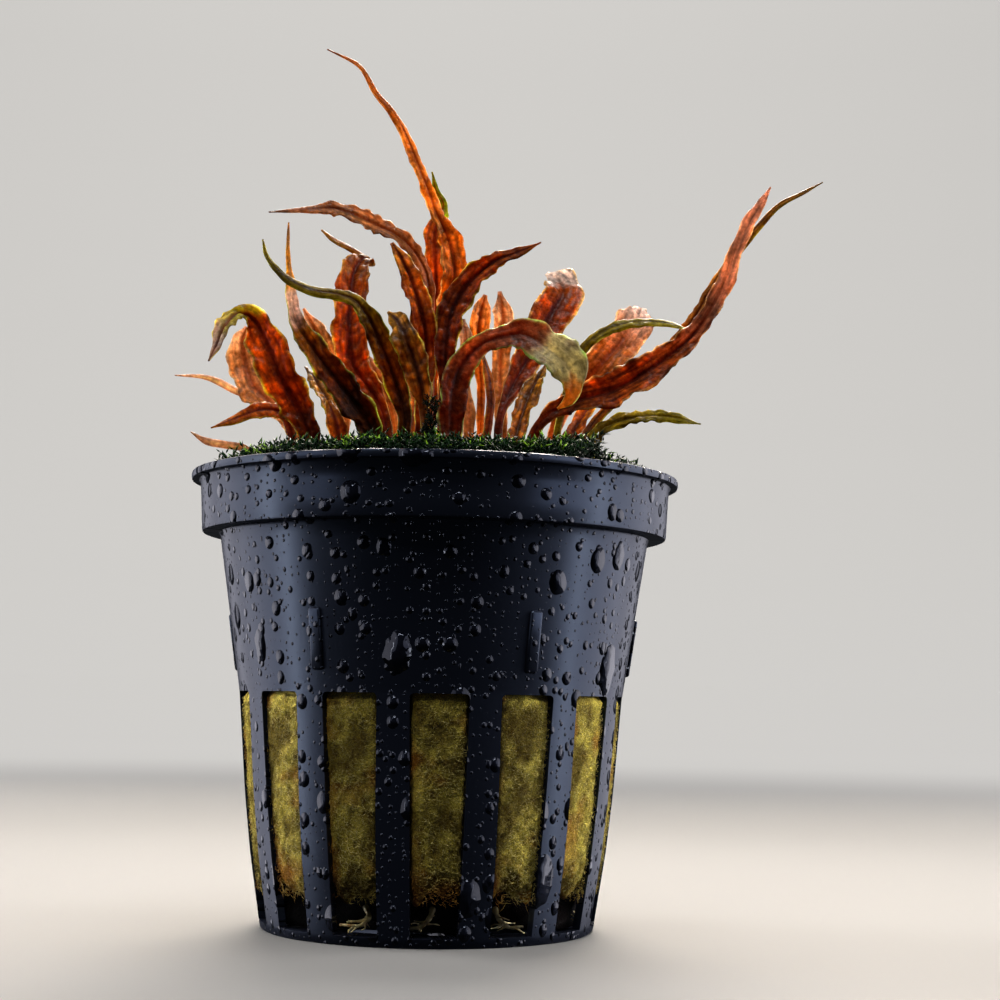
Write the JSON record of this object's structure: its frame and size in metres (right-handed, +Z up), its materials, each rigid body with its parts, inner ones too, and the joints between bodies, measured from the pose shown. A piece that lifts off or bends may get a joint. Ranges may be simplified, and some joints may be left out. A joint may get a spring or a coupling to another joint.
{
  "type": "potted aquarium plant",
  "caption": "Brown-leaved water trumpet with arching strap leaves, rooted in a moss-topped rock wool plug inside a round slotted nursery pot.",
  "frame": {"origin": "on the pot's axis, in the plane that the pot stands on", "axes": "+Z up along the pot's axis, -Y towards the side that the picture shows, +X to the right of that view"},
  "size_m": [0.0753, 0.0551, 0.0982],
  "materials": {
    "black_plastic": "smooth black moulded polypropylene, wet",
    "rockwool": "matted mineral fibre, olive yellow with brown stains",
    "moss": "fine tufted green moss",
    "root": "pale matt root",
    "leaf_orange": "satin puckered leaf, orange red",
    "leaf_russet": "satin leaf, dark red brown",
    "leaf_olive": "satin leaf, olive brown",
    "leaf_salmon": "thin translucent leaf, salmon",
    "leaf_green": "satin leaf, yellow green"
  },
  "bodies": {
    "root": {"pot": "black_plastic", "rockwool": "rockwool", "moss": "moss", "leaf_01": "leaf_orange", "leaf_02": "leaf_salmon", "leaf_03": "leaf_salmon", "leaf_04": "leaf_russet", "leaf_05": "leaf_salmon", "leaf_06": "leaf_russet", "leaf_07": "leaf_orange", "leaf_08": "leaf_olive", "leaf_09": "leaf_olive", "leaf_10": "leaf_olive", "leaf_11": "leaf_orange", "leaf_12": "leaf_orange", "leaf_13": "leaf_russet", "leaf_14": "leaf_russet", "leaf_15": "leaf_russet", "leaf_16": "leaf_orange", "leaf_17": "leaf_russet", "leaf_18": "leaf_salmon", "leaf_19": "leaf_orange", "leaf_20": "leaf_salmon", "leaf_21": "leaf_orange", "leaf_22": "leaf_green", "leaf_23": "leaf_orange", "leaf_24": "leaf_olive", "leaf_25": "leaf_green", "leaf_26": "leaf_salmon", "leaf_27": "leaf_orange", "leaf_28": "leaf_salmon", "leaf_29": "leaf_olive", "leaf_30": "leaf_russet", "leaf_31": "leaf_orange", "leaf_32": "leaf_russet", "leaf_33": "leaf_olive", "leaf_34": "leaf_orange", "leaf_35": "leaf_olive", "leaf_36": "leaf_russet", "root_1": "root", "root_2": "root", "root_3": "root", "root_4": "root", "root_5": "root", "root_6": "root", "root_7": "root"}
  },
  "joints": []
}
